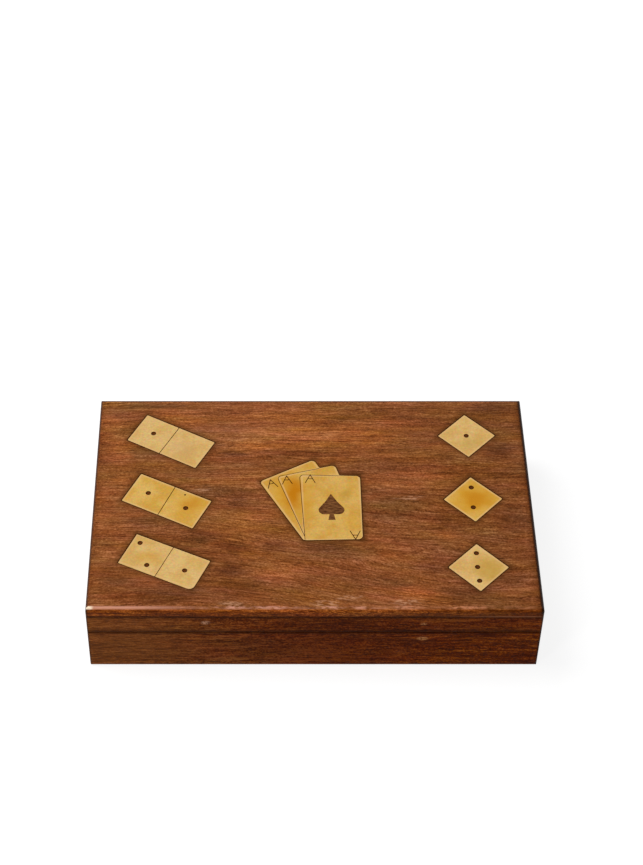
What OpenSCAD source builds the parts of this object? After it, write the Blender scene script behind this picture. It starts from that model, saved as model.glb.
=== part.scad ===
// Brass-inlaid hardwood box for dominoes, playing cards and dice.
// Millimetres. Origin at the centre of the underside, +Z up, the hinges at +Y, the front at -Y.

/* [Box] */
// Length of the box, left to right
box_length = 180; // [172:1:240]
// Depth of the box, front to back, without the hinge barrels
box_depth = 114; // [108:1:160]
// Thickness of the base walls and the lid rails
wall = 8; // [7:0.5:10]
// Radius that the upright corners are eased to, seen from above
corner_r = 0.8; // [0.3:0.1:2]
// Rounding of the edges on both sides of the opening seam
rim_ease = 0.5; // [0.2:0.1:1]

/* [Base] */
// Height of the base, from the table to the seam
base_height = 22; // [18:0.5:40]
// Rounding of the bottom outer edge
foot_round = 1.3; // [0.3:0.1:2]
// Thickness of the floor board
floor_thickness = 3.5; // [3:0.5:5]
// Width of the rabbet that the floor board is glued into
floor_rabbet = 4; // [2:0.5:5]

/* [Lid] */
// Height of the lid rails, from the seam to the top board
rail_height = 9.5; // [9.5:0.5:20]
// Thickness of the top board
board_thickness = 5; // [4:0.5:10]
// Rounding of the top board's upper edge
board_round = 2; // [0.5:0.25:2]
// Easing of the edges on both sides of the glue line under the top board
glue_ease = 0.25; // [0.1:0.05:0.5]

/* [Wells] */
// Width of the middle well, for one deck of playing cards laid flat
card_well = 67; // [65:0.5:70]
// Width of the right-hand well, for a row of dice
dice_well = 19; // [18:0.5:24]
// Thickness of the two dividers
divider_thickness = 4; // [3:0.5:6]
// Depth of the grooves that hold the divider ends
dado_depth = 2; // [1:0.5:3]
// How far the top of a divider lies below the rim
divider_drop = 0.3; // [0.2:0.1:3]
// Radius of the finger scoop in a divider
scoop_r = 14; // [12:1:20]
// Depth of the finger scoop below the divider's top
scoop_depth = 8; // [4:0.5:9]
// Thickness of the felt in the wells
felt_thickness = 1; // [0.8:0.1:2]
// Gap between the felt and the well's sides
felt_gap = 0.5; // [0.3:0.1:1]

/* [Inlay] */
// Thickness of the inlaid plates
plate_thickness = 1.5; // [1:0.1:2]
// Width of the filled gap round each plate
lac_gap = 0.35; // [0.25:0.05:0.6]
// How far the filling lies below the wood and the metal
lac_sink = 0.05; // [0.02:0.01:0.2]
// Width of an engraved line
line_width = 0.25; // [0.2:0.05:0.6]
// Depth of an engraved line
line_depth = 0.25; // [0.1:0.05:0.5]
// Radius of a pip
pip_r = 1.05; // [0.8:0.05:1.4]
// Length of a domino plate
domino_length = 33; // [28:0.5:36]
// Width of a domino plate
domino_width = 16.4; // [14:0.2:18]
// Distance of the domino plates' centres from the box's left side
domino_inset = 30.4; // [26:0.2:34]
// Distance of the outer domino plates' centres from the front and back of the box
domino_end_inset = 24.25; // [21:0.25:26]
// Radius of the domino plates' corners
domino_corner_r = 0.4; // [0.2:0.1:1]
// Radius of the one corner that is rubbed round, on the front domino plate
rubbed_corner_r = 2.4; // [1.5:0.1:3]
// Side of a die plate
die_size = 17; // [14:0.1:18]
// Distance of the die plates' centres from the box's right side
die_inset = 24.4; // [20:0.1:30]
// Distance of the outer die plates' centres from the front and back of the box
die_end_inset = 21.4; // [17:0.2:25]
// Radius of the die plates' corners
die_corner_r = 0.4; // [0.2:0.1:1]
// Width of one card of the fan
card_width = 24.4; // [22:0.5:27]
// Height of one card of the fan
card_height = 35.5; // [32:0.1:40]
// Radius of the cards' corners
card_corner_r = 1.8; // [1:0.1:3]
// Radius of the corners where the cards meet, at the foot of the fan
fan_foot_r = 0.7; // [0.6:0.1:1.5]
// Height of the spade, from foot to tip
spade_height = 14.1; // [12:0.1:16]

/* [Hinges] */
// Length of a hinge
hinge_length = 25; // [20:0.5:30]
// Distance of a hinge's middle from the end of the box
hinge_inset = 32; // [28:1:45]
// Thickness of a hinge leaf
leaf_thickness = 1; // [0.7:0.1:1.2]
// Width of a leaf where it lies on the rim
leaf_width = 6.5; // [5.5:0.25:6.5]
// Radius of a hinge barrel
barrel_r = 1.6; // [1.4:0.05:2]
// Radius of a hinge pin
pin_r = 0.75; // [0.5:0.05:0.9]
// Radius of a hinge screw's shank
screw_r = 0.9; // [0.7:0.05:1]
// Radius of a hinge screw's head
screw_head_r = 1.8; // [1.5:0.05:2]
// Length of a hinge screw below its leaf
screw_length = 6; // [4:0.5:7]
// Spacing of the two screws in a leaf
screw_pitch = 15; // [12:0.5:15]

/* [Hidden] */
$fn = 64;
wood_red = [0.40, 0.20, 0.10];
wood_board = [0.52, 0.30, 0.17];
brass = [0.82, 0.66, 0.36];
lac = [0.16, 0.09, 0.05];
felt = [0.36, 0.05, 0.06];
steel = [0.62, 0.60, 0.55];

// Clearances of the fits
glue_gap = 0.05; // per side, where a board stands in a groove or rabbet
lac_clear = 0.02; // between the filling and what it fills
pin_clear = 0.05; // radial, pin in barrel
knuckle_gap = 0.2; // along the pin, between knuckles
barrel_gap = 0.2; // between the barrel and the back face of the wood
leaf_gap = 0.1; // round a leaf in its mortise
screw_gap = 0.1; // radial, screw in leaf
sunk = 0.1; // depth of a leaf's face below the rim

// Places that the sizes give
seam_z = base_height;
board_z = base_height + rail_height;
top_z = board_z + board_thickness;
inner_length = box_length - 2 * wall;
inner_depth = box_depth - 2 * wall;
domino_well = inner_length - card_well - dice_well - 2 * divider_thickness;
domino_divider_x = -inner_length / 2 + domino_well + divider_thickness / 2;
dice_divider_x = inner_length / 2 - dice_well - divider_thickness / 2;
divider_x = [domino_divider_x, dice_divider_x];
plate_z = top_z - plate_thickness;
mortise_depth = leaf_thickness + sunk;
hinge_y = box_depth / 2 + barrel_gap + barrel_r;
hinge_x = box_length / 2 - hinge_inset;
knuckle_length = (hinge_length - 2 * knuckle_gap) / 3;
over = 1; // how far a cutting solid passes what it cuts
corner_steps = 7; // flats in an eased corner of an outline
lobe_steps = 14; // flats round a lobe of the spade

// The plates were laid by hand, so each has its own turn and slip: back, middle and front
row_share = [1, 0, -1];
domino_turn = [-28.7, -27, -25.1];
domino_slip = [[0.5, -0.3], [-0.3, -0.7], [-0.2, -0.2]];
line_slip = [-0.9, 0, 0]; // of the line across a domino, from its middle
line_turn = [0, 3, 0]; // of the same line, from square
die_turn = [45.5, 46, 45];
die_slip = [[-0.1, 0], [0.2, 0.2], [-0.1, -0.1]];
fan_pivot = [-3.5, -21.7];
fan_turn = [0.8, 17.5, 29]; // front card, middle card, back card
card_stray = [
    [[0, 0], [-1, 0.3], [-0.6, -1.3], [-1.4, -0.1]],
    [[0.5, -0.1], [0, 0], [0.2, -0.7], [-0.4, 0.6]],
    [[-0.4, 0.2], [0, 0], [0.4, 0.6], [-0.8, 0.9]]
]; // how far the corners lie from a true rectangle's: foot left, foot right, top right, top left
spade_foot = [7.7, -11];

// Pips, from the centre of the half or the die that they are drilled in
one_pip = [[-0.5, 0.3]];
two_pips = [[-5, 4.7], [2.7, -4.3]];
other_pip = [[0.6, 0.1]];
last_pip = [[1.1, -0.4]];
domino_left_pips = [one_pip, one_pip, two_pips];
domino_right_pips = [[], other_pip, last_pip];
die_pips = [[[-0.1, 0]], [[-0.3, 6.4], [-0.2, -4.4]], [[-0.4, 7.3], [-0.4, 0.2], [-0.1, -6.8]]];

// How far the box reaches along a side, and across from that side to the one opposite
function run(side) = side % 180 == 0 ? box_length : box_depth;
function across(side) = side % 180 == 0 ? box_depth : box_length;

// ---- Shapes that repeat ----

// Outward normal of the edge from a to b, for an outline that runs anticlockwise
function outward(a, b) = [b.y - a.y, a.x - b.x] / norm(b - a);

// Convex outline with a round corner of its own radius at each point, grown outwards by grow
module round_outline(corners, radii, grow) {
    count = len(corners);
    normals = [for (i = [0:count - 1]) outward(corners[i], corners[(i + 1) % count])];
    polygon([for (i = [0:count - 1])
        let (before = normals[(i + count - 1) % count], after = normals[i])
        let (centre = corners[i] - radii[i] * (before + after) / (1 + before * after))
        let (start = atan2(before.y, before.x), turn = acos(before * after))
        for (step = [0:corner_steps])
            let (angle = start + turn * step / corner_steps)
            centre + (radii[i] + grow) * [cos(angle), sin(angle)]]);
}

// Corners of a rectangle: lower left, lower right, upper right, upper left
function rectangle(size) = [[0, 0], [size.x, 0], size, [0, size.y]];

// A board's section across the whole box, its outer edges rounded below and above
module moulded_section(across, height, bottom_r, top_r) {
    difference() {
        translate([-across / 2, 0]) square([across, height]);
        for (side = [0, 1]) mirror([side, 0]) {
            translate([across / 2 - bottom_r, 0]) difference() {
                square(bottom_r);
                translate([0, bottom_r]) circle(bottom_r);
            }
            translate([across / 2 - top_r, height - top_r]) difference() {
                square(top_r);
                circle(top_r);
            }
        }
    }
}

// A solid block of the box's plan, standing on z = 0, with the edges along one side and the side
// opposite rounded. The front is 0, the right 90, the back 180, the left 270.
module moulded(side, height, bottom_r, top_r) {
    rotate(side) rotate([90, 0, 90]) linear_extrude(run(side), center = true)
        moulded_section(across(side), height, bottom_r, top_r);
}

// The box's plan with its upright corners eased
module eased_plan(height) {
    plan = [box_length, box_depth];
    linear_extrude(height) translate(-plan / 2)
        round_outline(rectangle(plan), [for (corner = [0:3]) corner_r], 0);
}

// One side of a four-sided frame, standing on z = 0: a moulded strip cut off at the mitres
module frame_side(side, height, bottom_r, top_r) {
    far = wall + over;
    intersection() {
        moulded(side, height, bottom_r, top_r);
        eased_plan(height);
        rotate(side) translate([0, 0, -over]) linear_extrude(height + 2 * over) polygon([
            [-run(side) / 2 - over, -across(side) / 2 - over],
            [run(side) / 2 + over, -across(side) / 2 - over],
            [run(side) / 2 - far, -across(side) / 2 + far],
            [-run(side) / 2 + far, -across(side) / 2 + far]
        ]);
    }
}

// A box of the given length and depth, centred in plan, from one height to another
module centred_box(size, bottom, top) {
    translate([-size.x / 2, -size.y / 2, bottom]) cube([size.x, size.y, top - bottom]);
}

// The middle of a hinge's axis: side is -1 for the left hinge and 1 for the right one
module at_hinge(side) {
    translate([side * hinge_x, hinge_y, seam_z]) children();
}

module at_both_hinges() {
    for (side = [-1, 1]) at_hinge(side) children();
}

// ---- Base ----

// One base wall, with its rabbet for the floor board, its divider grooves and its hinge seats
module base_wall(side) {
    rabbet = 2 * (wall - floor_rabbet);
    color(wood_red) difference() {
        frame_side(side, base_height, foot_round, rim_ease);
        centred_box([inner_length, inner_depth], -over, base_height + over);
        centred_box([box_length - rabbet, box_depth - rabbet], -over, floor_thickness);
        for (x = divider_x) translate([x, 0, 0])
            centred_box([divider_thickness, inner_depth + 2 * dado_depth], floor_thickness,
                        base_height + over);
        at_both_hinges() hinge_seat(-1);
    }
}

module base_floor() {
    inset = 2 * (wall - floor_rabbet + glue_gap);
    color(wood_red) centred_box([box_length - inset, box_depth - inset], 0, floor_thickness);
}

// A divider stands on the floor, with its ends in the grooves and a finger scoop in its top. A hinge
// seat that reaches its end is chopped through it as through the wall.
module divider(x) {
    top = base_height - divider_drop;
    scoop_z = top - scoop_depth + scoop_r;
    color(wood_red) difference() {
        translate([x, 0, 0])
            centred_box([divider_thickness - 2 * glue_gap, inner_depth + 2 * (dado_depth - glue_gap)],
                        floor_thickness, top);
        translate([x, 0, scoop_z]) rotate([0, 90, 0])
            cylinder(r = scoop_r, h = divider_thickness + 2 * over, center = true);
        at_both_hinges() hinge_seat(-1);
    }
}

module well_felt(left, width) {
    color(felt) translate([left + width / 2, 0, 0])
        centred_box([width - 2 * felt_gap, inner_depth - 2 * felt_gap], floor_thickness,
                    floor_thickness + felt_thickness);
}

// ---- Lid ----

module lid_rail(side) {
    color(wood_red) difference() {
        translate([0, 0, seam_z]) frame_side(side, rail_height, rim_ease, glue_ease);
        centred_box([inner_length, inner_depth], seam_z - over, board_z + over);
        at_both_hinges() hinge_seat(1);
    }
}

module lid_top_board() {
    color(wood_board) difference() {
        translate([0, 0, board_z]) intersection() {
            moulded(0, board_thickness, glue_ease, board_round);
            moulded(90, board_thickness, glue_ease, board_round);
            eased_plan(board_thickness);
        }
        translate([0, 0, plate_z]) linear_extrude(plate_thickness + over) {
            for (row = [0:2]) {
                domino_outline(row, lac_gap);
                die_outline(row, lac_gap);
            }
            fan_outline(lac_gap);
        }
    }
}

// ---- Inlay: plan outlines, grown outwards by grow ----

module at_domino(row) {
    place = [domino_inset - box_length / 2, row_share[row] * (box_depth / 2 - domino_end_inset)];
    translate(place + domino_slip[row]) rotate(domino_turn[row]) children();
}

module at_die(row) {
    place = [box_length / 2 - die_inset, row_share[row] * (box_depth / 2 - die_end_inset)];
    translate(place + die_slip[row]) children();
}

module at_card(card) {
    translate(fan_pivot) rotate(fan_turn[card]) children();
}

module domino_outline(row, grow) {
    size = [domino_length, domino_width];
    r = domino_corner_r;
    at_domino(row) translate(-size / 2)
        round_outline(rectangle(size), [r, row == 2 ? rubbed_corner_r : r, r, r], grow);
}

module die_outline(row, grow) {
    size = [die_size, die_size];
    at_die(row) rotate(die_turn[row]) translate(-size / 2)
        round_outline(rectangle(size), [for (corner = [0:3]) die_corner_r], grow);
}

// One card of the fan, sawn by hand: sharp at the pivot and round at its other corners
module card_outline(card, grow) {
    r = card_corner_r;
    at_card(card) round_outline(rectangle([card_width, card_height]) + card_stray[card],
                                [fan_foot_r, r, r, r], grow);
}

module fan_outline(grow) {
    for (card = [0:2]) card_outline(card, grow);
}

// Spade with its foot at the origin. Each side runs from the point to a narrow waist, then tangent
// to the lobe and round it, and back along a flat to the flared stem.
module spade(height) {
    lobe_r = 0.165 * height;
    lobe = [0.21 * height, 0.38 * height];
    waist = [0.172 * height, 0.7 * height];
    reach = waist - lobe;
    flank = atan2(reach.y, reach.x) - acos(lobe_r / norm(reach));
    bend = (flank + 90) / lobe_steps;
    side = concat(
        [[0, height], waist],
        [for (angle = [flank:-bend:-89.9]) lobe + lobe_r * [cos(angle), sin(angle)]],
        [[lobe.x, lobe.y - lobe_r], [0.062 * height, lobe.y - lobe_r], [0.105 * height, 0]]
    );
    polygon(concat(side, [for (i = [len(side) - 1:-1:1]) [-side[i].x, side[i].y]]));
}

module domino_pips(row, r) {
    at_domino(row) {
        for (pip = domino_left_pips[row]) translate([pip.x - domino_length / 4, pip.y]) circle(r);
        for (pip = domino_right_pips[row]) translate([pip.x + domino_length / 4, pip.y]) circle(r);
    }
}

module die_dots(row, r) {
    at_die(row) for (pip = die_pips[row]) translate(pip) circle(r);
}

// ---- Inlay: the plates and their filling ----

// A plate: its outline, cut through by its openings and scored with its lines
module plate() {
    color(brass) translate([0, 0, plate_z]) difference() {
        linear_extrude(plate_thickness) children(0);
        translate([0, 0, -over]) linear_extrude(plate_thickness + 2 * over) children(1);
        translate([0, 0, plate_thickness - line_depth]) linear_extrude(over) children(2);
    }
}

module domino_plate(row) {
    plate() {
        domino_outline(row, 0);
        domino_pips(row, pip_r);
        at_domino(row) translate([line_slip[row], 0]) rotate(line_turn[row])
            square([line_width, domino_width + over], center = true);
    }
}

module die_plate(row) {
    color(brass) translate([0, 0, plate_z]) difference() {
        linear_extrude(plate_thickness) die_outline(row, 0);
        translate([0, 0, -over]) linear_extrude(plate_thickness + 2 * over) die_dots(row, pip_r);
    }
}

// The scored edge of a card, where it lies over the cards behind it
module card_edge(card) {
    intersection() {
        difference() {
            card_outline(card, 0);
            card_outline(card, -line_width);
        }
        union() for (behind = [card + 1:2]) card_outline(behind, -line_width);
    }
}

module card_fan_plate() {
    plate() {
        fan_outline(0);
        translate(spade_foot) rotate(fan_turn[0]) spade(spade_height);
        union() {
            card_edge(0);
            difference() {
                card_edge(1);
                card_outline(0, 0);
            }
        }
    }
}

// Hard dark filling between a plate and its pocket
module lac_filling() {
    color(lac) translate([0, 0, plate_z]) linear_extrude(plate_thickness - lac_sink) children();
}

module domino_lac() {
    for (row = [0:2]) lac_filling() {
        difference() {
            domino_outline(row, lac_gap - lac_clear);
            domino_outline(row, lac_clear);
        }
        domino_pips(row, pip_r - lac_clear);
    }
}

module dice_lac() {
    for (row = [0:2]) lac_filling() {
        difference() {
            die_outline(row, lac_gap - lac_clear);
            die_outline(row, lac_clear);
        }
        die_dots(row, pip_r - lac_clear);
    }
}

module card_lac() {
    lac_filling() {
        difference() {
            fan_outline(lac_gap - lac_clear);
            fan_outline(lac_clear);
        }
        translate([spade_foot.x, spade_foot.y + lac_clear]) rotate(fan_turn[0])
            spade(spade_height - 4 * lac_clear);
    }
}

// ---- Hinges, each about its own axis: +Y out of the back, the leaves towards -Y ----
// level is -1 for what belongs to the base and 1 for what belongs to the lid

// The mortise and the screw holes of one leaf, cut out of the rim
module hinge_seat(level) {
    length = hinge_length + 2 * leaf_gap;
    inner = barrel_gap + barrel_r + leaf_width + leaf_gap;
    translate([-length / 2, -inner, level > 0 ? -over : -mortise_depth])
        cube([length, inner, mortise_depth + over]);
    at_screws() mirror([0, 0, level > 0 ? 1 : 0])
        translate([0, 0, -sunk - leaf_thickness - screw_length - glue_gap])
            cylinder(r = screw_r + glue_gap, h = screw_length + leaf_thickness);
}

module at_screws() {
    for (x = [-screw_pitch / 2, screw_pitch / 2])
        translate([x, -barrel_gap - barrel_r - leaf_width / 2, 0]) children();
}

// Knuckles 0 to 2 along the pin, each grown by grow in radius and length
module knuckles(which, grow) {
    for (k = which) translate([(k - 1) * (knuckle_length + knuckle_gap), 0, 0]) rotate([0, 90, 0])
        cylinder(r = barrel_r + grow, h = knuckle_length + 2 * grow, center = true);
}

module hinge_leaf(level) {
    own = level > 0 ? [1] : [0, 2];
    others = level > 0 ? [0, 2] : [1];
    reach = barrel_gap + barrel_r + leaf_width;
    color(brass) mirror([0, 0, level > 0 ? 1 : 0]) difference() {
        union() {
            translate([-hinge_length / 2, -reach, -mortise_depth])
                cube([hinge_length, reach, leaf_thickness]);
            knuckles(own, 0);
        }
        knuckles(others, knuckle_gap);
        rotate([0, 90, 0])
            cylinder(r = pin_r + pin_clear, h = hinge_length + 2 * over, center = true);
        at_screws() translate([0, 0, -mortise_depth])
            cylinder(r1 = screw_head_r + screw_gap - leaf_thickness,
                     r2 = screw_head_r + screw_gap + over, h = leaf_thickness + over);
        at_screws() translate([0, 0, -mortise_depth - over])
            cylinder(r = screw_r + screw_gap, h = leaf_thickness + over);
    }
}

module hinge_pin() {
    color(steel) rotate([0, 90, 0]) cylinder(r = pin_r, h = hinge_length, center = true);
}

// Countersunk screw with a slot, its head level with the leaf's face
module hinge_screw(level) {
    head = screw_head_r - screw_r;
    slot = [2 * screw_head_r + over, 0.5, 0.4];
    mirror([0, 0, level > 0 ? 1 : 0]) translate([0, 0, -sunk]) difference() {
        union() {
            translate([0, 0, -head]) cylinder(r1 = screw_r, r2 = screw_head_r, h = head);
            translate([0, 0, -leaf_thickness - screw_length])
                cylinder(r = screw_r, h = leaf_thickness + screw_length - head);
        }
        translate([0, 0, over - slot.z]) cube([slot.x, slot.y, 2 * over], center = true);
    }
}

module hinge_screws(level) {
    color(brass) at_both_hinges() at_screws() hinge_screw(level);
}

// ---- The nodes ----

base_wall(0);  // base_front_wall
base_wall(90);  // base_right_wall
base_wall(180);  // base_back_wall
base_wall(270);  // base_left_wall
base_floor();
divider(domino_divider_x);  // domino_divider
divider(dice_divider_x);  // dice_divider
well_felt(-inner_length / 2, domino_well);  // domino_well_felt
well_felt(domino_divider_x + divider_thickness / 2, card_well);  // card_well_felt
well_felt(inner_length / 2 - dice_well, dice_well);  // dice_well_felt
at_hinge(-1) hinge_leaf(-1);  // left_hinge_base_leaf
at_hinge(1) hinge_leaf(-1);  // right_hinge_base_leaf
at_hinge(-1) hinge_leaf(1);  // left_hinge_lid_leaf
at_hinge(1) hinge_leaf(1);  // right_hinge_lid_leaf
at_hinge(-1) hinge_pin();  // left_hinge_pin
at_hinge(1) hinge_pin();  // right_hinge_pin
hinge_screws(-1);  // base_hinge_screws
hinge_screws(1);  // lid_hinge_screws
lid_top_board();
lid_rail(0);  // lid_front_rail
lid_rail(90);  // lid_right_rail
lid_rail(180);  // lid_back_rail
lid_rail(270);  // lid_left_rail
domino_plate(0);  // domino_plate_back
domino_plate(1);  // domino_plate_middle
domino_plate(2);  // domino_plate_front
die_plate(0);  // die_plate_back
die_plate(1);  // die_plate_middle
die_plate(2);  // die_plate_front
card_fan_plate();
domino_lac();
dice_lac();
card_lac();
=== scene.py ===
from math import atan2, cos, radians, sin

import bpy
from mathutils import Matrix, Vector


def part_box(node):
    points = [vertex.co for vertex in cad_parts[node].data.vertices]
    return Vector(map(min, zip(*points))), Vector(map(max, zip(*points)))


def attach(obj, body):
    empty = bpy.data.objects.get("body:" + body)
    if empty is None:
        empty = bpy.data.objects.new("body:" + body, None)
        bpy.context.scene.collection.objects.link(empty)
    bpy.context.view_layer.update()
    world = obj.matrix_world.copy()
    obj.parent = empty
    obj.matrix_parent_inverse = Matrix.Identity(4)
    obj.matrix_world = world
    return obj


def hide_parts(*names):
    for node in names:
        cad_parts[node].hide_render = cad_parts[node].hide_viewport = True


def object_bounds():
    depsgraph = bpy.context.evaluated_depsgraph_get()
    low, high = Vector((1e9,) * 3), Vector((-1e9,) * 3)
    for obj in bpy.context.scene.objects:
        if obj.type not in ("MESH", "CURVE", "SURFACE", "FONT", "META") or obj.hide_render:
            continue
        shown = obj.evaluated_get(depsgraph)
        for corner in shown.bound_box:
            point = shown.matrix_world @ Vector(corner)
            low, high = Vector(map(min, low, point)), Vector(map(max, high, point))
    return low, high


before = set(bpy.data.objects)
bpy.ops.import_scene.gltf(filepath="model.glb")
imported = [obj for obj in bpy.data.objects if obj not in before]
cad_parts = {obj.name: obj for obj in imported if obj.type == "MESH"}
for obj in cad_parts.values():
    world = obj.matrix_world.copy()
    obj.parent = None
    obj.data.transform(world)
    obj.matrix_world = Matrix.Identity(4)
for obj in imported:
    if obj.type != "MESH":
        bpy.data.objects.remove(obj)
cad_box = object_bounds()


# ---- Base walls ----
# Four rosewood boards, mitred and glued at the corners, rabbeted below for the floor board and
# chopped out behind for the hinges. Rubbed with a dark stain and a thin coat of shellac, and worn
# to a soft shine, with dirt left in the seam where the lid closes.

end_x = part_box("base_right_wall")[1].x * 1000
front_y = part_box("base_front_wall")[0].y * 1000
seam_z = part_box("base_front_wall")[1].z * 1000


def srgb(red, green, blue):
    """A colour given as red, green and blue from 0 to 255, made linear for the shaders."""
    def linear(c):
        return c / 12.92 if c <= 0.04045 else ((c + 0.055) / 1.055) ** 2.4
    return (*[linear(c / 255) for c in (red, green, blue)], 1)


class Finish:
    """A surface finish, worked out in millimetres from where each point of the piece lies."""

    def __init__(self, name):
        self.material = bpy.data.materials.new(name)
        self.material.use_nodes = True
        self.tree = self.material.node_tree
        self.shader = self.tree.nodes["Principled BSDF"]
        place = self.tree.nodes.new("ShaderNodeTexCoord").outputs["Object"]
        self.mm = self.vector("MULTIPLY", place, (1000, 1000, 1000))
        self.x, self.y, self.z = self.split(self.mm)

    def add(self, kind, inputs, output=0, **settings):
        """Adds a node, joins or sets its inputs, and gives one of its outputs."""
        node = self.tree.nodes.new("ShaderNode" + kind)
        for setting, value in settings.items():
            setattr(node, setting, value)
        for socket, value in inputs.items():
            if isinstance(value, bpy.types.NodeSocket):
                self.tree.links.new(value, node.inputs[socket])
            else:
                node.inputs[socket].default_value = value
        return node.outputs[output]

    def split(self, vector):
        """The three parts of a vector."""
        node = self.tree.nodes.new("ShaderNodeSeparateXYZ")
        self.tree.links.new(vector, node.inputs[0])
        return node.outputs

    def vector(self, operation, a, b=(0, 0, 0), c=(0, 0, 0)):
        output = 1 if operation == "LENGTH" else 0
        return self.add("VectorMath", {0: a, 1: b, 2: c}, output, operation=operation)

    def number(self, operation, a, b=0.0, c=0.0):
        return self.add("Math", {0: a, 1: b, 2: c}, operation=operation)

    def times(self, value, *others):
        """The product of two values or more."""
        for other in others:
            value = self.number("MULTIPLY", value, other)
        return value

    def most(self, values):
        """The highest of the values."""
        top = values[0]
        for value in values[1:]:
            top = self.number("MAXIMUM", top, value)
        return top

    def off(self, value, middle):
        """How far the value lies from a middle, on either side of it."""
        return self.number("ABSOLUTE", self.number("SUBTRACT", value, middle))

    def noise(self, place, scale, detail=3.0, rough=0.55, colour=False):
        """Cloudy noise, its scale given per millimetre along each axis."""
        stretched = self.vector("MULTIPLY", place, scale)
        return self.add("TexNoise", {"Vector": stretched, "Scale": 1.0, "Detail": detail,
                                     "Roughness": rough}, 1 if colour else 0)

    def between(self, value, low, high, first=0.0, last=1.0):
        """A soft step from the first amount to the last, as the value goes from low to high."""
        return self.add("MapRange", {"Value": value, "From Min": low, "From Max": high,
                                     "To Min": first, "To Max": last},
                        interpolation_type="SMOOTHSTEP")

    def blend(self, share, a, b, how="MIX"):
        """A mix of two colours, which are inputs 6 and 7 of a Mix node, and its output 2."""
        return self.add("Mix", {0: share, 6: a, 7: b}, 2, data_type="RGBA", blend_type=how)

    def tint(self, share, colour, tone):
        """The colour seen through a thin stain of the given tone."""
        return self.blend(share, colour, (*tone, 1), "MULTIPLY")

    def patch(self, place, centre, reach, core=0.15):
        """1 at the centre of a long cloud and 0 past its reach."""
        moved = self.vector("SUBTRACT", place, (*centre, 0))
        share = self.vector("MULTIPLY", moved, (1 / reach[0], 1 / reach[1], 0))
        return self.between(self.vector("LENGTH", share), 1.0, core)

    def beyond(self, centre, half, turn):
        """The distance from the outline of a turned oblong, less than 0 inside it."""
        moved = self.vector("SUBTRACT", self.mm, (*centre, 0))
        flat = self.vector("MULTIPLY", moved, (1, 1, 0))
        own = self.add("Mapping", {"Vector": flat, "Rotation": (0, 0, radians(-turn))})
        past = self.vector("SUBTRACT", self.vector("ABSOLUTE", own), (*half, 0))
        past_x, past_y = self.split(past)[:2]
        nearest = self.number("MAXIMUM", past_x, past_y)
        outside = self.vector("LENGTH", self.vector("MAXIMUM", past, (0, 0, 0)))
        return self.number("ADD", outside, self.number("MINIMUM", nearest, 0.0))

    def coat(self, colour, roughness, height=None, depth_mm=0.0, **sockets):
        """Lays the colour, the sheen and the relief on the piece's surface."""
        laid = {"Base Color": colour, "Roughness": roughness}
        if height is not None:
            laid["Normal"] = self.add("Bump", {"Strength": 1.0, "Distance": depth_mm / 1000,
                                               "Height": height})
        laid.update({name.replace("_", " "): value for name, value in sockets.items()})
        for socket, value in laid.items():
            if isinstance(value, bpy.types.NodeSocket):
                self.tree.links.new(value, self.shader.inputs[socket])
            else:
                self.shader.inputs[socket].default_value = value
        return self.material


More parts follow.
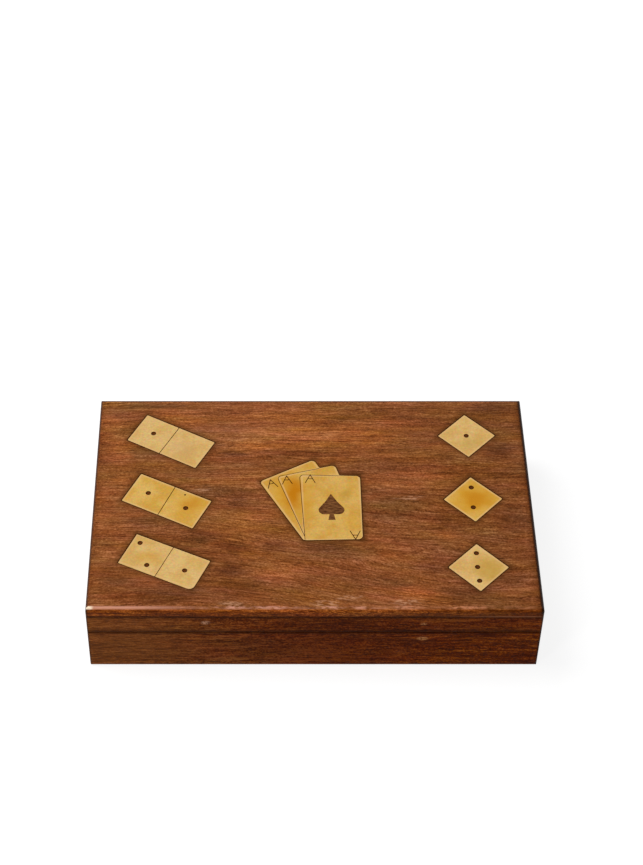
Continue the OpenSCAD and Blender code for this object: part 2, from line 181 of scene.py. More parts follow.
class Wood(Finish):
    """Rosewood: growth bands, streaks, fibres and open pores that run along one axis.

    The sweep is how many millimetres the grain falls away towards the front right corner.
    """

    def __init__(self, name, along, shift, sweep=0.0):
        super().__init__(name)
        turn = (0, 0, radians(-90)) if along == "Y" else (0, 0, 0)
        grain = self.add("Mapping", {"Vector": self.mm, "Location": shift, "Rotation": turn})
        drift = self.noise(grain, (0.012, 0.045, 0.045), 2.0, colour=True)
        if sweep:
            swept = self.times(self.between(self.x, -60, 75), self.between(self.y, 30, -50))
            grain = self.vector("MULTIPLY_ADD", swept, (0, sweep, 0), grain)
        self.grain = self.vector("MULTIPLY_ADD", drift, (0, 9, 9), grain)
        self.bands = self.noise(self.grain, (0.014, 0.075, 0.075), 1.0, 0.4)
        self.streaks = self.noise(self.grain, (0.045, 0.75, 0.75), 3.0, 0.6)
        self.lines = self.noise(self.grain, (0.016, 1.5, 1.5), 2.0, 0.6)
        self.fibres = self.noise(self.grain, (0.20, 2.4, 2.4), 3.0, 0.7)
        self.fleck = self.noise(self.grain, (1.1, 2.3, 2.3), 3.0, 0.7)
        pores = self.noise(self.grain, (0.30, 2.9, 2.9), 1.0)
        self.pores = self.between(pores, 0.58, 0.70)
        self.hue = self.noise(grain, (0.035, 0.14, 0.14), 3.0, 0.6, colour=True)

    def figure(self, dark, middle, pale, broad=1.0, crisp=1.0):
        """The three tones of the board, mixed by its figure and cast here redder, there browner."""
        tone = 0.5
        for figure, share in ((self.bands, 0.24 * broad), (self.streaks, 0.11 * crisp),
                              (self.lines, 0.16 * crisp), (self.fibres, 0.26 * crisp),
                              (self.fleck, 0.30 * crisp)):
            tone = self.number("ADD", self.number("MULTIPLY_ADD", figure, share, -share / 2), tone)
        colour = self.blend(self.between(tone, 0.40, 0.505), dark, middle)
        colour = self.blend(self.between(tone, 0.495, 0.60), colour, pale)
        colour = self.blend(self.times(self.pores, 0.55), colour, dark)
        cast = self.vector("MULTIPLY_ADD", self.hue, (0.5, 0.5, 1.4), (0.75, 0.75, 0.3))
        return self.blend(1.0, colour, cast, "MULTIPLY")

    def relief(self):
        """The pores and fibres that the polish has not filled."""
        return self.number("MULTIPLY_ADD", self.pores, -0.6, self.times(self.fibres, 0.5))

    def painted_corner_shade(self, colour):
        """Painted shade on the four upright corners, where their rounding turns away from the
        light.
        """
        end = self.between(self.number("ABSOLUTE", self.x), end_x - 1.1, end_x - 0.3)
        face = self.between(self.number("ABSOLUTE", self.y), -front_y - 1.1, -front_y - 0.5)
        return self.blend(self.times(end, face, 0.7), colour, srgb(44, 22, 6))

    def sheen(self, dull=0.0):
        """The roughness: uneven, and higher in the pores and on dry wood."""
        worn = self.between(self.fleck, 0.3, 0.7, 0.30 + dull, 0.42 + dull)
        return self.number("MULTIPLY_ADD", self.pores, 0.12, worn)


base_tones = srgb(72, 24, 0), srgb(126, 56, 9), srgb(184, 108, 52)
seam_dirt = srgb(44, 17, 5)
shellac = srgb(255, 190, 130)
wall_grain = {
    "base_front_wall": ("X", (31, 7, 3)), "base_back_wall": ("X", (-140, 52, 9)),
    "base_left_wall": ("Y", (77, 21, 5)), "base_right_wall": ("Y", (205, -33, 14)),
}
# Middle and half size of the small knocks in the front faces, along and up
knocks = {
    "base_front_wall": [((43, 18), (3.2, 1.6))],
    "lid_front_rail": [((-43, 28.3), (2.6, 1.5)), ((43, 27.4), (1.6, 1.2))],
}
# Spans along the front faces over which a tint comes in, from none to all of it, and its tone.
# On all the front faces it is painted shade, darker and redder towards the middle and the right,
# away from the light at the left; the base's front wall is also darker in the middle and paler at
# its right end
front_shade = [([(-50, 20)], (0.98, 0.78, 0.5))]
front_wall_tints = [([(-45, -15), (45, 15)], (0.84, 0.76, 0.8)), ([(25, 60)], (1.3, 1.3, 1.0))]


def rail_wood(name, along, shift, dirt_lines):
    """Stained rosewood with dirt along the lines given by height, reach and strength."""
    wood = Wood("rosewood_" + name, along, shift)
    colour = wood.figure(*base_tones, broad=0.9, crisp=1.9 if "front" in name else 1.5)
    outer = wood.between(wood.y, front_y + 3, front_y + 1)
    for middle, half in knocks.get(name, ()):
        moved = wood.vector("SUBTRACT", wood.mm, (middle[0], 0, middle[1]))
        share = wood.vector("MULTIPLY", moved, (1 / half[0], 0, 1 / half[1]))
        mark = wood.times(wood.between(wood.vector("LENGTH", share), 1.0, 0.3),
                          wood.between(wood.fleck, 0.42, 0.54), outer)
        colour = wood.blend(mark, colour, srgb(226, 168, 134))
    # Painted light: the left end of each front face is painted paler, where the light from the left
    # falls most
    rubbed = wood.times(wood.between(wood.x, -30, -75), outer,
                        wood.between(wood.fibres, 0.35, 0.65, 0.15, 0.5))
    colour = wood.blend(rubbed, colour, srgb(190, 118, 60))
    # Painted shade towards the middle and right of the front faces, and the front wall's tints
    for spans, tone in front_shade + (front_wall_tints if name == "base_front_wall" else []):
        share = wood.times(outer, *[wood.between(wood.x, *span) for span in spans])
        colour = wood.tint(share, colour, tone)
    # Painted highlight along the rounded bottom edge of the base walls
    bottom_edge_highlight = wood.between(wood.z, 1.8, 0.4, 0.0, 0.3)
    colour = wood.blend(bottom_edge_highlight, colour, srgb(186, 136, 96))
    for height, reach, strength in dirt_lines:
        away = wood.number("MULTIPLY_ADD", wood.streaks, -0.7, wood.off(wood.z, height))
        colour = wood.blend(wood.between(away, reach, -0.2, 0.0, strength), colour, seam_dirt)
    colour = wood.painted_corner_shade(colour)
    return wood.coat(colour, wood.sheen(), wood.relief(), 0.10, Specular_IOR_Level=0.03,
                     Specular_Tint=shellac)


def dress(name, finish):
    """Gives a piece of the construction its finish."""
    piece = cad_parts[name]
    piece.data.materials.clear()
    piece.data.materials.append(finish)


for name, (along, shift) in wall_grain.items():
    dress(name, rail_wood(name, along, shift, [(seam_z, 1.2, 0.7)]))


# ---- Floor board and dividers ----
# A thin rosewood board glued into the rabbet under the walls, and two loose dividers that stand on
# it with their ends in grooves. They were never stained as deeply as the outside, so they are drier
# and redder.

inner_tones = srgb(82, 38, 16), srgb(130, 72, 36), srgb(168, 104, 58)
inner_grain = {
    "base_floor": ("X", (12, 160, 0)), "domino_divider": ("Y", (9, 88, 31)),
    "dice_divider": ("Y", (260, 41, 17)),
}
for name, (along, shift) in inner_grain.items():
    wood = Wood("bare_rosewood_" + name, along, shift)
    dress(name, wood.coat(wood.figure(*inner_tones), wood.sheen(0.18), wood.relief(), 0.14,
                          Specular_IOR_Level=0.2))


# ---- Felt in the wells ----
# Three pieces of thin deep-red wool felt, cut with a knife a little smaller than each well and
# glued down to the floor board. The glue lets them lie a little uneven, and the nap is fuzzy.

# Size of a mesh cell, height of the waves and thickness, in metres
felt_cell = 0.0015
felt_wave = 0.00012
felt_thick = 0.001


def felt_finish():
    felt = Finish("red_felt")
    nap = felt.noise(felt.mm, (6.0, 6.0, 6.0), 4.0, 0.7)
    clumps = felt.noise(felt.mm, (0.9, 0.9, 0.9), 4.0, 0.6)
    rubbed = felt.noise(felt.mm, (0.05, 0.05, 0.05), 3.0)
    colour = felt.blend(felt.between(clumps, 0.3, 0.7), srgb(74, 8, 14), srgb(120, 20, 26))
    colour = felt.blend(felt.between(nap, 0.55, 0.75, 0.0, 0.5), colour, srgb(160, 52, 52))
    colour = felt.blend(felt.between(rubbed, 0.5, 0.75, 0.0, 0.4), colour, srgb(92, 24, 26))
    height = felt.number("MULTIPLY_ADD", nap, 0.6, felt.times(clumps, 0.6))
    return felt.coat(colour, 0.95, height, 0.5, Specular_IOR_Level=0.1, Sheen_Weight=0.5,
                     Sheen_Roughness=0.5, Sheen_Tint=srgb(200, 90, 90))


red_felt = felt_finish()
unevenness = bpy.data.textures.new("felt_unevenness", "CLOUDS")
unevenness.noise_scale = 0.02
for well in ("domino_well", "card_well", "dice_well"):
    low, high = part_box(well + "_felt")
    width, length = high.x - low.x, high.y - low.y
    bpy.ops.object.select_all(action="DESELECT")
    bpy.ops.mesh.primitive_grid_add(
        x_subdivisions=round(width / felt_cell), y_subdivisions=round(length / felt_cell), size=1,
        location=((low.x + high.x) / 2, (low.y + high.y) / 2, low.z))
    sheet = bpy.context.object
    sheet.name = well + "_felt_sheet"
    sheet.scale = (width, length, 1)
    bpy.ops.object.transform_apply(location=True, rotation=True, scale=True)
    thickness = sheet.modifiers.new("thickness", "SOLIDIFY")
    thickness.thickness = felt_thick - felt_wave
    thickness.offset = 1
    bpy.ops.object.modifier_apply(modifier=thickness.name)
    upper = sheet.vertex_groups.new(name="upper")
    upper.add([v.index for v in sheet.data.vertices if v.co.z > low.z + felt_thick / 2], 1, "ADD")
    wave = sheet.modifiers.new("wave", "DISPLACE")
    wave.texture = unevenness
    wave.texture_coords = "LOCAL"
    wave.vertex_group = "upper"
    wave.direction = "Z"
    wave.strength = felt_wave
    bpy.ops.object.modifier_apply(modifier=wave.name)
    bpy.ops.object.shade_smooth_by_angle(angle=radians(40))
    sheet.data.materials.append(red_felt)
    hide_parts(well + "_felt")
    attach(sheet, "base")


# ---- Hinges, pins and screws ----
# Two small butt hinges of cast brass with steel pins, let into the back rim and held by countersunk
# brass screws. They are never polished, so they have gone dull and spotted brown.


def dull_metal(name, base, stain, scratch_scale):
    """Unpolished metal with stains, brown spots and the scratches of the file."""
    metal = Finish(name)
    cloud = metal.noise(metal.mm, (0.5, 0.5, 0.5), 4.0, 0.6)
    spots = metal.noise(metal.mm, (2.4, 2.4, 2.4), 3.0, 0.6)
    scratches = metal.noise(metal.mm, scratch_scale, 2.0)
    colour = metal.blend(metal.between(cloud, 0.42, 0.68), base, stain)
    colour = metal.blend(metal.between(spots, 0.58, 0.7, 0.0, 0.6), colour, srgb(88, 58, 28))
    rough = metal.between(cloud, 0.35, 0.7, 0.34, 0.56)
    height = metal.number("MULTIPLY_ADD", spots, 0.4, metal.times(scratches, 0.6))
    return metal.coat(colour, rough, height, 0.02, Metallic=1.0)


hinge_brass = dull_metal("hinge_brass", srgb(196, 156, 84), srgb(150, 108, 52), (0.3, 9.0, 9.0))
screw_brass = dull_metal("screw_brass", srgb(206, 168, 96), srgb(158, 116, 58), (5.0, 5.0, 0.5))
pin_steel = dull_metal("pin_steel", srgb(168, 164, 156), srgb(120, 112, 102), (0.4, 7.0, 7.0))
fittings = {
    "left_hinge_base_leaf": hinge_brass, "right_hinge_base_leaf": hinge_brass,
    "left_hinge_lid_leaf": hinge_brass, "right_hinge_lid_leaf": hinge_brass,
    "base_hinge_screws": screw_brass, "lid_hinge_screws": screw_brass,
    "left_hinge_pin": pin_steel, "right_hinge_pin": pin_steel,
}
for name, finish in fittings.items():
    dress(name, finish)


# ---- Lid rails ----
# Four rosewood rails, mitred like the walls below them and sawn from the same boards. Their lower
# edge closes on the base and their upper edge is glued to the top board.

board_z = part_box("lid_front_rail")[1].z * 1000
rail_grain = {
    "lid_front_rail": ("X", (-64, 19, 11)), "lid_back_rail": ("X", (118, -27, 2)),
    "lid_left_rail": ("Y", (-31, 66, 8)), "lid_right_rail": ("Y", (143, 12, -9)),
}
for name, (along, shift) in rail_grain.items():
    dress(name, rail_wood(name, along, shift, [(seam_z, 2.6, 0.75), (board_z, 0.8, 0.6)]))


# ---- Top board ----
# One wide rosewood board with its upper edge rounded over, glued on the rails. Its grain falls
# away at the front right and dark clouds cross its figure. The front edge has a painted highlight
# along its crest and is scuffed pale by hands in places, and dirt lies round the metal in it. Its
# rounded ends, back edge and corners carry painted shade.

top_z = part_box("lid_top_board")[1].z * 1000
top_tones = srgb(86, 42, 15), srgb(133, 76, 38), srgb(178, 115, 71)
# Middle, reach and strength of the dark, pale, red and olive clouds in its figure
dark_clouds = [
    ((-66, 52.4), (28, 2.2), 0.6), ((-34, 25), (8, 3), 0.8), ((-38, 4), (7, 4), 0.7),
    ((-30, 1), (8, 9), 0.5), ((-14, 17), (7, 5), 0.4), ((-70, -12), (20, 5), 0.55),
    ((-45, -20), (12, 8), 0.5), ((-32, -25), (9, 4), 0.6), ((-33, -37), (9, 6), 0.65),
    ((-31, -47), (12, 7), 0.4), ((-60, -50), (26, 7), 0.75), ((-80, -43), (13, 14), 0.5),
    ((4, -25), (16, 4), 0.4), ((16, -47), (9, 5), 0.3), ((33, -8), (14, 5), 0.3),
    ((62, -49), (14, 7), 0.4), ((56, -10), (12, 8), 0.4), ((80, -9), (12, 10), 0.5),
    ((42, 0), (22, 5), 0.5), ((-16, -25), (9, 5), 0.5), ((48, -36), (11, 5), 0.45),
    ((-5, -43), (8, 5), 0.4), ((79, -42), (9, 5), 0.4), ((-45, 5), (5, 5), 0.5),
    ((-33, -54), (9, 3), 0.35), ((-33, -30), (8, 4), 0.3),
    ((79, 27), (11, 8), 0.75), ((78, 51), (18, 6), 0.6), ((41, 46), (12, 3), 0.4),
]
pale_clouds = [
    ((6, 34), (46, 9), 0.85), ((-10, 47), (26, 8), 0.45), ((-26, 30), (14, 5), 0.6),
    ((33, 42), (30, 5), 0.4), ((-86, 42), (9, 8), 0.6), ((-56, 47), (18, 5), 0.5),
    ((-81, 28), (9, 11), 0.5), ((-79, 11), (8, 4), 0.5), ((40, 10), (26, 8), 0.55),
    ((-24, -13), (14, 7), 0.4), ((-12, -40), (14, 8), 0.25), ((41, -48), (12, 6), 0.45),
    ((54, -19), (8, 4), 0.3),
]
red_clouds = [
    ((-42, 43), (26, 7), 0.5), ((24, 42), (34, 7), 0.3), ((-86, -3), (7, 10), 0.8),
    ((40, -49), (26, 7), 0.6), ((-74, -51), (18, 5), 0.9), ((32, -29), (14, 7), 0.6),
]
olive_clouds = [
    ((-69, 24), (13, 8), 0.9), ((-50, 14), (14, 7), 0.8), ((-80, 40), (9, 14), 0.6),
    ((-48, -25), (10, 6), 0.9), ((10, 32), (22, 8), 0.8), ((32, -5), (18, 10), 0.8),
    ((6, -28), (26, 6), 0.6), ((80, 34), (8, 7), 0.7),
]
# Middle and reach of the places where the top is scuffed pale
top_scuffs = [
    ((41, 1), (7, 1.4)), ((5, -54), (9, 1.7)), ((38, -53), (9, 2)), ((14, -51), (6, 1.5)),
    ((-32, -54), (8, 1.6)), ((-46, 5), (4, 1.4)),
]
# Middle and half length of the scuffs along the front edge
edge_scuffs = [(-31, 5), (-17, 8), (6, 5), (18, 3), (36, 7), (60, 10)]
# How far in from the front and down from the top the crest of the rounded front edge lies
crest_in, crest_down = 1.15, 0.19
# Side, place and strength of the painted shade on the rounded ends, the place as millimetres in
# from the end
end_shade = [(-1, 1.3, 0.75), (1, 1.8, 1.0)]
# Half size and turn of the metal plates, for the dirt round them and the painted highlight on
# their rims
plate_shapes = {
    "domino_plate_back": ((16.5, 8.2), -28.7), "domino_plate_middle": ((16.5, 8.2), -27),
    "domino_plate_front": ((16.5, 8.2), -25.1), "die_plate_back": ((8.5, 8.5), 45.5),
    "die_plate_middle": ((8.5, 8.5), 46), "die_plate_front": ((8.5, 8.5), 45),
}
# Middle, half size and turn of the back, the middle and the front card of the fan
card_outlines = [
    ((-1.8, 0), (12.5, 18.1), 29), ((2.9, -1.1), (12.2, 17.8), 17.5),
    ((7.8, -4.1), (12.2, 17.5), 0.8),
]
plate_outlines = {}
for name, shape in plate_shapes.items():
    low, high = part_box(name)
    middle = (low + high) / 2 * 1000
    plate_outlines[name] = (middle[:2], *shape)

board = Wood("rosewood_top_board", "X", (0, 0, 0), sweep=19)
ragged = board.vector("MULTIPLY_ADD", board.noise(board.mm, (0.05, 0.35, 0.35), 4.0, 0.6, True),
                      (14, 5, 0), board.mm)
ragged = board.vector("SUBTRACT", ragged, (7, 2.5, 0))
colour = board.figure(*top_tones, broad=0.45, crisp=1.15)
for clouds, tone in ((dark_clouds, (0.26, 0.21, 0.24)), (pale_clouds, (2.0, 1.95, 1.9)),
                     (red_clouds, (1.08, 0.88, 0.86)), (olive_clouds, (0.88, 1.08, 1.0))):
    for centre, reach, strength in clouds:
        share = board.times(board.patch(ragged, centre, reach), strength,
                            board.between(board.streaks, 0.25, 0.6, 0.45, 1.0))
        colour = board.tint(share, colour, tone)

# On the top only: dirt round the metal, and the scuffs
upper_side = board.between(board.z, top_z - 1.8, top_z - 1.0)
dirt = []
for outline in [*card_outlines, *plate_outlines.values()]:
    outside = board.beyond(*outline)
    halo = board.between(outside, 3.0, 0.5, 0.0, 0.6)
    dirt.append(board.number("MAXIMUM", halo, board.between(outside, 1.0, 0.4)))
patchy = board.between(board.fleck, 0.3, 0.7, 0.45, 0.85)
colour = board.blend(board.times(board.most(dirt), patchy, upper_side), colour, srgb(62, 36, 8))
scuffed = board.noise(board.mm, (0.35, 1.4, 1.4), 4.0, 0.7)
marks = board.most([board.patch(ragged, *place, 0.3) for place in top_scuffs])
marks = board.times(marks, board.between(scuffed, 0.47, 0.58, 0.0, 0.6), upper_side)
colour = board.blend(marks, colour, srgb(206, 152, 116))

# The front edge: a painted highlight along its crest, most of all at the left, with pale scuffs
crest = board.vector("SUBTRACT", board.mm, (0, front_y + crest_in, top_z - crest_down))
off_crest = board.vector("LENGTH", board.vector("MULTIPLY", crest, (0, 1, 1)))
on_crest = board.between(off_crest, 1.0, 0.2)
# The painted highlight at the left, the scuffs, and a broken pale line of highlight and wear
crest_highlights_and_scuffs = [board.times(board.between(board.x, -35, -78), 0.85)]
for middle, reach in edge_scuffs:
    crest_highlights_and_scuffs.append(board.times(board.between(board.off(board.x, middle), reach, reach * 0.4),
                            board.between(scuffed, 0.38, 0.58)))
crest_highlights_and_scuffs.append(board.between(scuffed, 0.40, 0.70, 0.0, 0.5))
crest_highlight_and_wear = board.times(board.most(crest_highlights_and_scuffs), on_crest)
# Tone of the painted highlight and the scuffs, pinker at the left
worn = board.blend(board.between(board.x, 0, 50), srgb(210, 148, 124), srgb(208, 136, 96))
colour = board.blend(crest_highlight_and_wear, colour, worn)

# The front face: stained and streaked, darker towards the glue line, with a painted glint on it at
# the right
face = board.between(board.y, front_y + 1.0, front_y + 0.1)
colour = board.tint(face, colour, (2.05, 1.55, 0.78))
shade = board.times(board.between(board.lines, 0.56, 0.42), 0.7)
shade = board.number("MULTIPLY_ADD", board.between(board.fleck, 0.6, 0.35), 0.5, shade)
colour = board.tint(board.times(shade, face), colour, (0.46, 0.40, 0.40))
lower = board.between(board.z, board_z + 3.6, board_z + 0.6, 0.0, 0.7)
colour = board.tint(board.times(lower, face), colour, (0.6, 0.55, 0.5))
off_glue = board.off(board.z, board_z)
colour = board.blend(board.between(off_glue, 1.3, 0.3, 0.0, 0.8), colour, seam_dirt)
# Painted glint along the board's lower edge at the glue line, at the right
glue_line_glint = board.times(board.between(off_glue, 0.9, 0.5), board.between(off_glue, 0.2, 0.4),
                      board.between(board.x, 44, 80), face)
colour = board.blend(glue_line_glint, colour, srgb(206, 134, 96))

# The ends, the back and the corners: painted shade where their rounded edges turn away from the
# light, and a painted glint on the tip of the front left corner
upper = board.between(board.z, top_z - 3.2, top_z - 2.2)
# Painted shade on each rounded end: darker towards the end, and a dark line along its lower half
for side, inwards, strength in end_shade:
    outwards = board.times(board.x, side)
    start = end_x - inwards
    near_end = board.between(outwards, start - 2.2, start + 0.4, 0.0, 0.8)
    colour = board.tint(near_end, colour, (0.66, 0.60, 0.50))
    share = board.times(board.between(outwards, start, start + 0.9, 0.0, strength), upper)
    colour = board.blend(share, colour, srgb(40, 14, 0))
# Painted shade along the rounded back edge, which turns away from the light
back_edge_shade = board.between(board.y, -front_y - 2.1, -front_y - 1.1, 0.0, 0.85)
colour = board.blend(back_edge_shade, colour, srgb(74, 40, 24))
colour = board.painted_corner_shade(colour)
# Painted glint at the front left tip of the crest
painted_glint_tip = board.times(board.between(board.x, 3.6 - end_x, 1.8 - end_x), on_crest)
colour = board.blend(painted_glint_tip, colour, srgb(255, 232, 202))
sheen = board.number("MULTIPLY_ADD", crest_highlight_and_wear, -0.12, board.sheen())
dress("lid_top_board", board.coat(colour, sheen, board.relief(), 0.08, Specular_IOR_Level=0.05,
                                  Specular_Tint=shellac))


# ---- Domino and die plates ----
# Sheet brass sawn to shape, filed, set level with the board in a pocket filled with hard lac, and
# rubbed down in place. The edges are softened by the rubbing and the faces have begun to tarnish.

# Width of the rubbed edges, in metres
plate_edge = 0.00012


def inlay_brass(name, shift, tones, clouds, dullness, outlines):
    """Rubbed brass with its own tarnish, clouds of (middle, reach, strength, colour) and a painted
    rim highlight.
    """
    brass = Finish(name)
    place = brass.add("Mapping", {"Vector": brass.mm, "Location": shift})
    ragged = brass.vector("MULTIPLY_ADD", brass.noise(brass.mm, (0.2, 0.2, 0.2), 4.0, 0.6, True),
                          (6, 6, 0), brass.mm)
    ragged = brass.vector("SUBTRACT", ragged, (3, 3, 0))
    patina = brass.noise(place, (0.11, 0.11, 0.11), 4.0, 0.55)
    smear = brass.noise(place, (0.5, 1.6, 0.5), 4.0, 0.6)
    specks = brass.noise(place, (2.2, 2.2, 2.2), 2.0)
    colour = brass.blend(brass.between(patina, 0.38, 0.62), *tones)
    colour = brass.blend(brass.between(smear, 0.45, 0.7, 0.0, 0.4), colour, srgb(198, 160, 99))
    mottle = brass.noise(place, (1.1, 1.1, 1.1), 4.0, 0.7, True)
    mottle = brass.vector("MULTIPLY_ADD", mottle, (0.8, 0.8, 1.0), (0.61, 0.60, 0.50))
    colour = brass.blend(1.0, colour, mottle, "MULTIPLY")
    for centre, reach, strength, tint in clouds:
        share = brass.times(brass.patch(ragged, centre, reach), strength)
        colour = brass.blend(share, colour, tint)
    # Painted highlight on a band just inside each outline, along the rubbed edge
    rim_highlight = 0.0
    for outline in outlines:
        beyond = brass.beyond(*outline)
        rim_highlight = brass.times(rim_highlight, brass.between(beyond, -0.1, 0.1))
        own = brass.times(brass.between(beyond, -1.0, -0.4), brass.between(beyond, 0.1, -0.1))
        rim_highlight = brass.number("ADD", rim_highlight, own)
    colour = brass.blend(brass.times(rim_highlight, 0.6), colour, srgb(224, 184, 126))
    colour = brass.blend(brass.between(specks, 0.70, 0.76, 0.0, 0.6), colour, srgb(134, 92, 42))
    sunk = brass.between(brass.z, top_z - 0.05, top_z - 0.14)
    colour = brass.blend(sunk, colour, srgb(88, 44, 4))
    scratches = brass.noise(brass.mm, (0.25, 7.0, 1.0), 3.0, 0.7)
    crossed = brass.noise(brass.mm, (5.0, 0.4, 1.0), 3.0, 0.7)
    height = brass.number("MULTIPLY_ADD", crossed, 0.5, brass.times(scratches, 0.5))
    rough = brass.between(patina, 0.3, 0.7, 0.40 + dullness, 0.50 + dullness)
    return brass.coat(colour, rough, height, 0.012, Metallic=1.0)


def softened(node, edge=plate_edge):
    """A copy of a node's piece with its sharp edges rubbed round."""
    bpy.ops.object.select_all(action="DESELECT")
    piece = bpy.data.objects.new(node + "_rubbed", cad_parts[node].data.copy())
    bpy.context.scene.collection.objects.link(piece)
    bpy.context.view_layer.objects.active = piece
    piece.select_set(True)
    piece.data.materials.clear()
    bpy.ops.object.mode_set(mode="EDIT")
    bpy.ops.mesh.select_all(action="SELECT")
    bpy.ops.mesh.remove_doubles(threshold=1e-6)
    bpy.ops.mesh.dissolve_limited(angle_limit=radians(1))
    bpy.ops.object.mode_set(mode="OBJECT")
    rubbed = piece.modifiers.new("rubbed", "BEVEL")
    rubbed.width = edge
    rubbed.segments = 2
    rubbed.limit_method = "ANGLE"
    rubbed.angle_limit = radians(40)
    bpy.ops.object.modifier_apply(modifier=rubbed.name)
    bpy.ops.object.shade_smooth_by_angle(angle=radians(20))
    return piece


def cut_out(piece, block):
    """Cuts the shape of a block out of the piece and takes the block away."""
    cut = piece.modifiers.new("cut", "BOOLEAN")
    cut.operation = "DIFFERENCE"
    cut.solver = "EXACT"
    cut.object = block
    bpy.ops.object.select_all(action="DESELECT")
    bpy.context.view_layer.objects.active = piece
    piece.select_set(True)
    bpy.ops.object.modifier_apply(modifier=cut.name)
    bpy.data.objects.remove(block)


amber, honey, olive = srgb(193, 120, 8), srgb(208, 153, 42), srgb(175, 145, 56)
rosy, ochre = srgb(206, 164, 112), srgb(188, 146, 52)
bright = srgb(219, 183, 117), srgb(211, 171, 99)
golden = srgb(218, 177, 94), srgb(209, 163, 70)
# Shift of the pattern, the two tones, the clouds and the dullness of each plate
plate_tarnish = {
    "domino_plate_back": ((0, 0, 0), bright, [((-54, 28), (10, 7), 0.4, rosy)], 0.04),
    "domino_plate_middle": ((40, 9, 0), golden, [((-49.5, -3), (12, 10), 0.6, honey),
                                                 ((-50, -3), (6, 5), 0.45, amber)], 0.0),
    "domino_plate_front": ((-22, 60, 0), bright, [((-66, -31), (8, 6), 0.35, honey)], 0.04),
    "die_plate_back": ((81, 14, 0), bright, [((66, 31), (8, 5), 0.3, olive)], 0.06),
    "die_plate_middle": ((12, -71, 0), golden, [((66, 0), (15, 14), 0.9, honey),
                                               ((67, 0), (8, 7), 0.6, amber)], 0.0),
    "die_plate_front": ((-9, -33, 0), bright, [((70.5, -37), (9, 9), 0.65, ochre)], 0.04),
}
# Place, radius and depth of the small hole where a drill slipped on the middle domino
drill_slip = ((-52.4, 2.5), 0.4, 0.4)
for name, (shift, tones, clouds, dullness) in plate_tarnish.items():
    plate = softened(name)
    if name == "domino_plate_middle":
        place, radius, depth = drill_slip
        bpy.ops.object.select_all(action="DESELECT")
        bpy.ops.mesh.primitive_cylinder_add(
            vertices=20, radius=radius / 1000, depth=2 * depth / 1000,
            location=(place[0] / 1000, place[1] / 1000, top_z / 1000))
        cut_out(plate, bpy.context.object)
    plate.data.materials.append(inlay_brass("brass_" + name, shift, tones, clouds, dullness,
                                            [plate_outlines[name]]))
    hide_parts(name)
    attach(plate, "lid")


# ---- Card fan plate ----
# One sheet of the same brass, sawn to the outline of three fanned cards with a spade pierced
# through the front one. The card edges are scored, and each card has a plain ace index scratched
# in its corner, with a second one upside down on the front card.

# The pivot of the fan, and the turn of each card and of its index, in degrees
fan_pivot = (-3.5, -21.7)
card_turns = (0.8, 17.5, 29)
index_leans = (0, 4, 15)
# Where an index sits on its card, how wide and tall it is, the size of the front card, and how
# wide and deep the scratches are, in millimetres
index_place = (3.1, 33.0)
index_size = (4.1, 4.5)
front_card_size = (23.6, 35.4)
scratch_width, scratch_depth = 0.36, 0.22


def stroke_block(start, end):
    """A narrow block along one stroke of an index, for cutting it into the plate."""
    run = (end[0] - start[0], end[1] - start[1])
    length = (run[0] ** 2 + run[1] ** 2) ** 0.5 + scratch_width / 2
    middle = ((start[0] + end[0]) / 2000, (start[1] + end[1]) / 2000, top_z / 1000)
    bpy.ops.object.select_all(action="DESELECT")
    bpy.ops.mesh.primitive_cube_add(size=1, location=middle)
    block = bpy.context.object
    block.scale = (length / 1000, scratch_width / 1000, 2 * scratch_depth / 1000)
    block.rotation_euler = (0, 0, atan2(run[1], run[0]))
    bpy.ops.object.transform_apply(location=True, rotation=True, scale=True)
    return block


def index_strokes(turn, lean, corner, upside_down=False):
    """The three strokes of one ace index, from its card's turn and corner."""
    a = radians(turn)
    middle = (fan_pivot[0] + corner[0] * cos(a) - corner[1] * sin(a),
              fan_pivot[1] + corner[0] * sin(a) + corner[1] * cos(a))
    b = radians(lean + (180 if upside_down else 0))
    width, height = index_size
    left, peak, right = (-width / 2, -height / 2), (0, height / 2), (width / 2, -height / 2)
    shape = [(left, peak), (peak, right), ((-width / 4, 0), (width / 4, 0))]
    return [[(middle[0] + x * cos(b) - y * sin(b), middle[1] + x * sin(b) + y * cos(b))
             for x, y in stroke] for stroke in shape]


strokes = []
for turn, lean in zip(card_turns, index_leans):
    strokes += index_strokes(turn, lean, index_place)
far_corner = (front_card_size[0] - index_place[0], front_card_size[1] - index_place[1])
strokes += index_strokes(card_turns[0], card_turns[0], far_corner, True)

fan = softened("card_fan_plate")
for stroke in strokes:
    cut_out(fan, stroke_block(*stroke))
fan_tarnish = [
    ((-9, 3), (9, 22), 0.7, honey), ((-8, 3.5), (6, 13), 0.95, amber),
    ((-2, 0), (4, 16), 0.5, honey), ((13.3, 2.1), (4, 5), 0.3, olive),
    ((15.8, -11.6), (4, 5), 0.4, honey), ((-14, 4), (5, 10), 0.5, honey),
]
fan_tones = srgb(214, 172, 89), srgb(205, 157, 66)
fan.data.materials.append(inlay_brass("brass_card_fan", (55, 31, 0), fan_tones, fan_tarnish, 0.0,
                                      card_outlines))
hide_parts("card_fan_plate")
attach(fan, "lid")


# ---- Lac filling ----
# Hard dark lac, melted into the gap round each plate and into the pips and the spade, then rubbed
# level. It shrinks as it cools, so the pips are dished, and dust lies brown in them and over the
# spade.

# Width of the rubbed edges, and the rings, the width of each and the whole depth of the dish in a
# pip, in metres
lac_edge = 0.00002
pip_rings, pip_rim, pip_dish = 2, 0.00030, 0.00016
# A pip's top is a face with at least this many sides and an area between these, in square metres
pip_sides, pip_area = 24, (2e-6, 5e-6)
spade_middle, spade_reach = (7.5, -4.8), (7.5, 9.0)


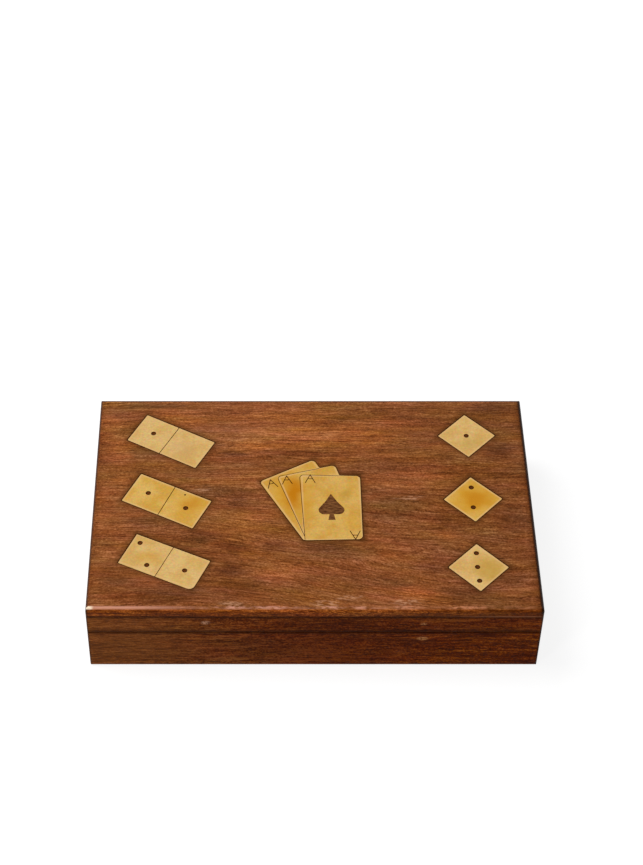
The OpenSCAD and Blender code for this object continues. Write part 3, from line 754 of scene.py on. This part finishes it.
def lac_finish():
    lac = Finish("dark_lac")
    mottle = lac.noise(lac.mm, (0.5, 1.4, 0.5), 4.0, 0.65)
    grain = lac.noise(lac.mm, (1.2, 4.0, 1.2), 3.0, 0.6)
    dust = lac.between(lac.z, top_z - 0.08, top_z - 0.18)
    dark = lac.blend(lac.between(grain, 0.35, 0.65), srgb(38, 12, 0), srgb(64, 28, 2))
    spade = lac.blend(lac.between(mottle, 0.35, 0.65), srgb(70, 36, 16), srgb(126, 82, 46))
    inside = lac.patch(lac.mm, spade_middle, spade_reach, 0.92)
    colour = lac.blend(dust, dark, srgb(88, 46, 14))
    colour = lac.blend(inside, colour, spade)
    return lac.coat(colour, lac.between(mottle, 0.3, 0.7, 0.35, 0.6), grain, 0.03,
                    Specular_IOR_Level=0.04)


dark_lac = lac_finish()
for name in ("domino_lac", "dice_lac"):
    filling = softened(name, lac_edge)
    bpy.ops.object.mode_set(mode="EDIT")
    bpy.ops.mesh.select_all(action="DESELECT")
    bpy.ops.object.mode_set(mode="OBJECT")
    crown = max(v.co.z for v in filling.data.vertices)
    for face in filling.data.polygons:
        round_one = len(face.vertices) >= pip_sides and pip_area[0] < face.area < pip_area[1]
        face.select = round_one and face.normal.z > 0.9 and face.center.z > crown - 1e-5
    bpy.ops.object.mode_set(mode="EDIT")
    for ring in range(pip_rings):
        bpy.ops.mesh.inset(thickness=pip_rim, depth=-pip_dish / pip_rings)
    bpy.ops.object.mode_set(mode="OBJECT")
    bpy.ops.object.shade_smooth_by_angle(angle=radians(35))
    filling.data.materials.append(dark_lac)
    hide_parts(name)
    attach(filling, "lid")
dress("card_lac", dark_lac)


# ---- Floor, light and camera ----
# The box stands on a plain white floor under a wide soft light from above and the left, with a
# smaller one low at the front left that catches the rounded front edge.

# Width of the floor and how far it lies under the box, in metres, then its own grey, the white that
# it shows, and the strength of the room's light and of the white seen behind the box
floor_size, floor_gap = 8, 0.00002
floor_grey, floor_white = 0.22, 0.88
room_level, white_level = 0.13, 1.0


def seen_directly(tree):
    """1 where the camera sees it, also in metal or through glass, and 0 where it only lights."""
    path = tree.nodes.new("ShaderNodeLightPath")
    seen = path.outputs["Is Camera Ray"]
    for ray in ("Is Glossy Ray", "Is Transmission Ray"):
        either = tree.nodes.new("ShaderNodeMath")
        either.operation = "MAXIMUM"
        tree.links.new(seen, either.inputs[0])
        tree.links.new(path.outputs[ray], either.inputs[1])
        seen = either.outputs[0]
    return seen


def seen_white(tree, lit, level):
    """Adds plain white of the given level to what the lit floor shows the camera and the metal."""
    strength = tree.nodes.new("ShaderNodeMath")
    strength.operation = "MULTIPLY"
    strength.inputs[1].default_value = level
    tree.links.new(seen_directly(tree), strength.inputs[0])
    glow = tree.nodes.new("ShaderNodeEmission")
    tree.links.new(strength.outputs[0], glow.inputs["Strength"])
    both = tree.nodes.new("ShaderNodeAddShader")
    tree.links.new(lit, both.inputs[0])
    tree.links.new(glow.outputs[0], both.inputs[1])
    return both.outputs[0]


bpy.ops.object.select_all(action="DESELECT")
bpy.ops.mesh.primitive_plane_add(size=floor_size, location=(0, 0, cad_box[0][2] - floor_gap))
floor = bpy.context.object
floor.name = "floor"
paper = bpy.data.materials.new("white_floor")
paper.use_nodes = True
matt = paper.node_tree.nodes["Principled BSDF"]
matt.inputs["Base Color"].default_value = (floor_grey, floor_grey, floor_grey, 1)
matt.inputs["Roughness"].default_value = 1.0
matt.inputs["Specular IOR Level"].default_value = 0.0
surface = paper.node_tree.nodes["Material Output"].inputs["Surface"]
paper.node_tree.links.new(seen_white(paper.node_tree, matt.outputs[0], floor_white), surface)
floor.data.materials.append(paper)

world = bpy.data.worlds.new("soft_room")
bpy.context.scene.world = world
world.use_nodes = True
sky = world.node_tree
lift = sky.nodes.new("ShaderNodeMapRange")
lift.inputs["To Min"].default_value = room_level
lift.inputs["To Max"].default_value = white_level
sky.links.new(seen_directly(sky), lift.inputs["Value"])
sky.nodes["Background"].inputs["Color"].default_value = (1, 1, 1, 1)
sky.links.new(lift.outputs[0], sky.nodes["Background"].inputs["Strength"])

# Name, place, aim, side in metres, watts, and whether it shows in the metal
softboxes = [
    ("overhead", (-0.42, 0.2, 0.85), (0, 0, 0), 0.6, 8.8, False),
    ("front_left", (-0.23, -0.34, 0.24), (-0.06, -0.05, 0.03), 0.08, 0.48, True),
]
for name, place, target, side, watts, glints in softboxes:
    lamp = bpy.data.lights.new(name, "AREA")
    lamp.shape = "SQUARE"
    lamp.size = side
    lamp.energy = watts
    box_light = bpy.data.objects.new(name, lamp)
    bpy.context.scene.collection.objects.link(box_light)
    box_light.location = place
    box_light.visible_camera = False
    box_light.visible_glossy = glints
    aim = Vector(target) - Vector(place)
    box_light.rotation_euler = aim.to_track_quat("-Z", "Y").to_euler()

lens = bpy.data.cameras.new("camera")
lens.sensor_width = 36
lens.lens = 84.796
lens.shift_x, lens.shift_y = 0.06464, -0.03951
lens.clip_start, lens.clip_end = 0.05, 50
camera = bpy.data.objects.new("camera", lens)
bpy.context.scene.collection.objects.link(camera)
looks_down = 46.22
camera.rotation_euler = (radians(90 - looks_down), 0, 0)
camera.location = (-0.01931, -0.54824, 0.66855)
bpy.context.scene.camera = camera
bpy.context.scene.view_settings.view_transform = "Standard"
